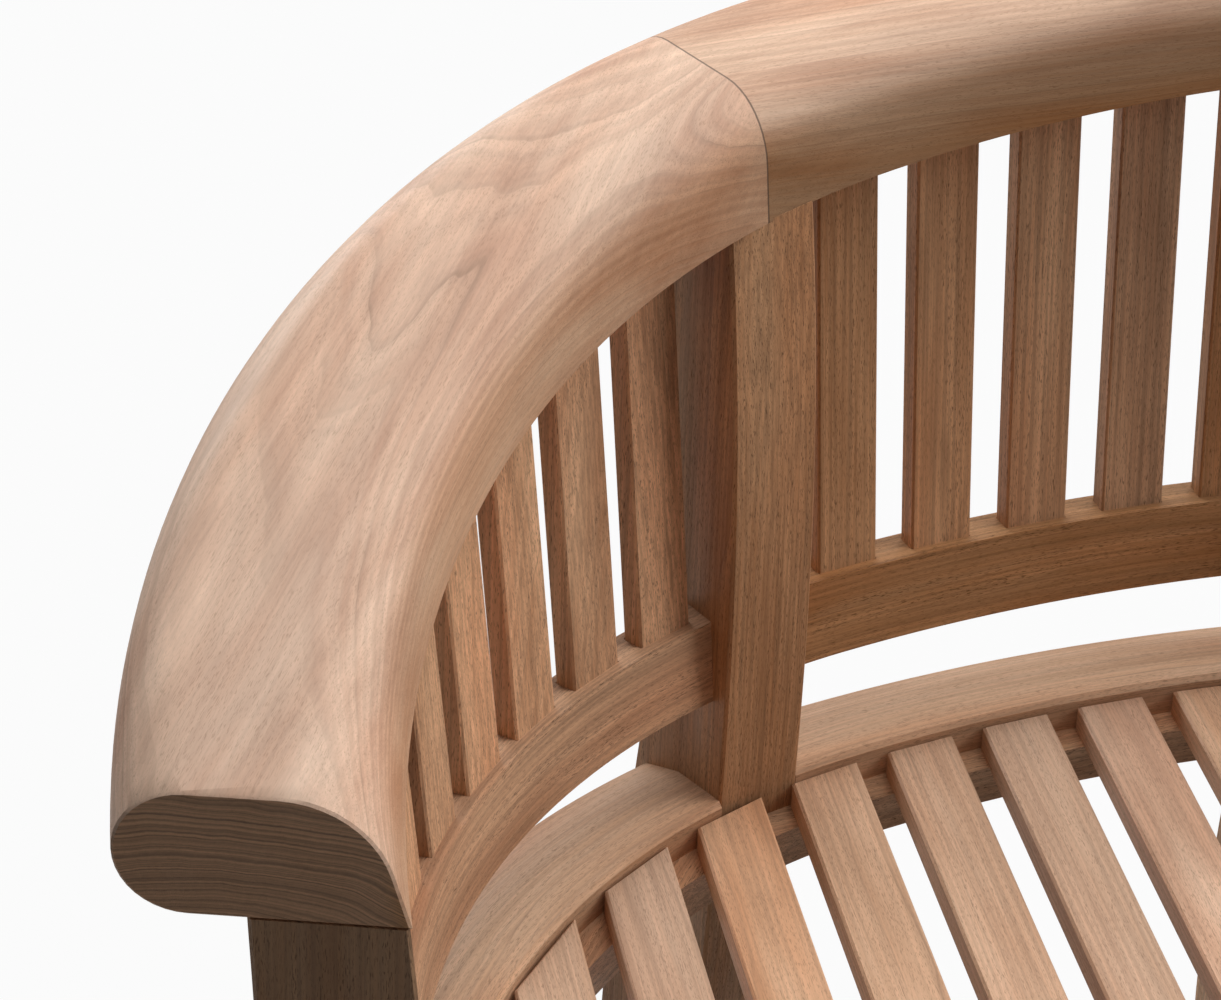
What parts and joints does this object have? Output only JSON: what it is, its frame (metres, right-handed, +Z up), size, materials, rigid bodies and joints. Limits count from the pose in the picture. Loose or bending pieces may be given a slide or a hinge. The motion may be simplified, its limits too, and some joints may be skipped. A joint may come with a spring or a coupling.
{
  "type": "garden bench",
  "caption": "Curved wooden garden bench with a wide rounded top rail that sweeps down into the arms, upright back slats and a slatted seat with a concave front.",
  "frame": {"origin": "middle of the bench's outline on the floor, at the bottom of its feet", "axes": "+X along the bench to the sitter's left, +Y from the front of the seat to the back, +Z up"},
  "size_m": [1.522, 0.6162, 0.8749],
  "materials": {
    "teak_top_rail": "sanded, unfinished",
    "teak_rail": "sanded, unfinished",
    "teak_post": "sanded, unfinished",
    "teak_slat": "sanded, unfinished",
    "teak_seat": "sanded, unfinished",
    "teak_cleat": "sawn, unfinished",
    "teak_dowel": "turned, glued in"
  },
  "bodies": {
    "root": {"arm_slats_left": "teak_slat", "arm_slats_right": "teak_slat", "back_slat_1_left": "teak_slat", "back_slat_1_right": "teak_slat", "back_slat_2_left": "teak_slat", "back_slat_2_right": "teak_slat", "back_slat_3_left": "teak_slat", "back_slat_3_right": "teak_slat", "back_slat_4_left": "teak_slat", "back_slat_4_right": "teak_slat", "back_slat_5_left": "teak_slat", "back_slat_5_right": "teak_slat", "front_leg_left": "teak_post", "front_leg_right": "teak_post", "lower_rail_arm_left": "teak_rail", "lower_rail_arm_right": "teak_rail", "lower_rail_back_left": "teak_rail", "lower_rail_back_right": "teak_rail", "rear_post_centre": "teak_post", "rear_post_left": "teak_post", "rear_post_right": "teak_post", "seat_bearer_centre": "teak_cleat", "seat_cleat_arm_left": "teak_cleat", "seat_cleat_arm_right": "teak_cleat", "seat_cleat_back_left": "teak_cleat", "seat_cleat_back_right": "teak_cleat", "seat_cleat_front_left": "teak_cleat", "seat_cleat_front_right": "teak_cleat", "seat_rail_arm_left": "teak_rail", "seat_rail_arm_right": "teak_rail", "seat_rail_back_left": "teak_rail", "seat_rail_back_right": "teak_rail", "seat_rail_front": "teak_rail", "seat_slat_1_left": "teak_seat", "seat_slat_1_right": "teak_seat", "seat_slat_2_left": "teak_seat", "seat_slat_2_right": "teak_seat", "seat_slat_3_left": "teak_seat", "seat_slat_3_right": "teak_seat", "seat_slat_4_left": "teak_seat", "seat_slat_4_right": "teak_seat", "seat_slat_5_left": "teak_seat", "seat_slat_5_right": "teak_seat", "seat_slat_6_left": "teak_seat", "seat_slat_6_right": "teak_seat", "seat_slat_7_left": "teak_seat", "seat_slat_7_right": "teak_seat", "seat_slat_8_left": "teak_seat", "seat_slat_8_right": "teak_seat", "seat_slat_9_left": "teak_seat", "seat_slat_9_right": "teak_seat", "top_rail_arm_left": "teak_top_rail", "top_rail_arm_right": "teak_top_rail", "top_rail_back_left": "teak_top_rail", "top_rail_back_right": "teak_top_rail", "top_rail_dowels": "teak_dowel"}
  },
  "joints": []
}
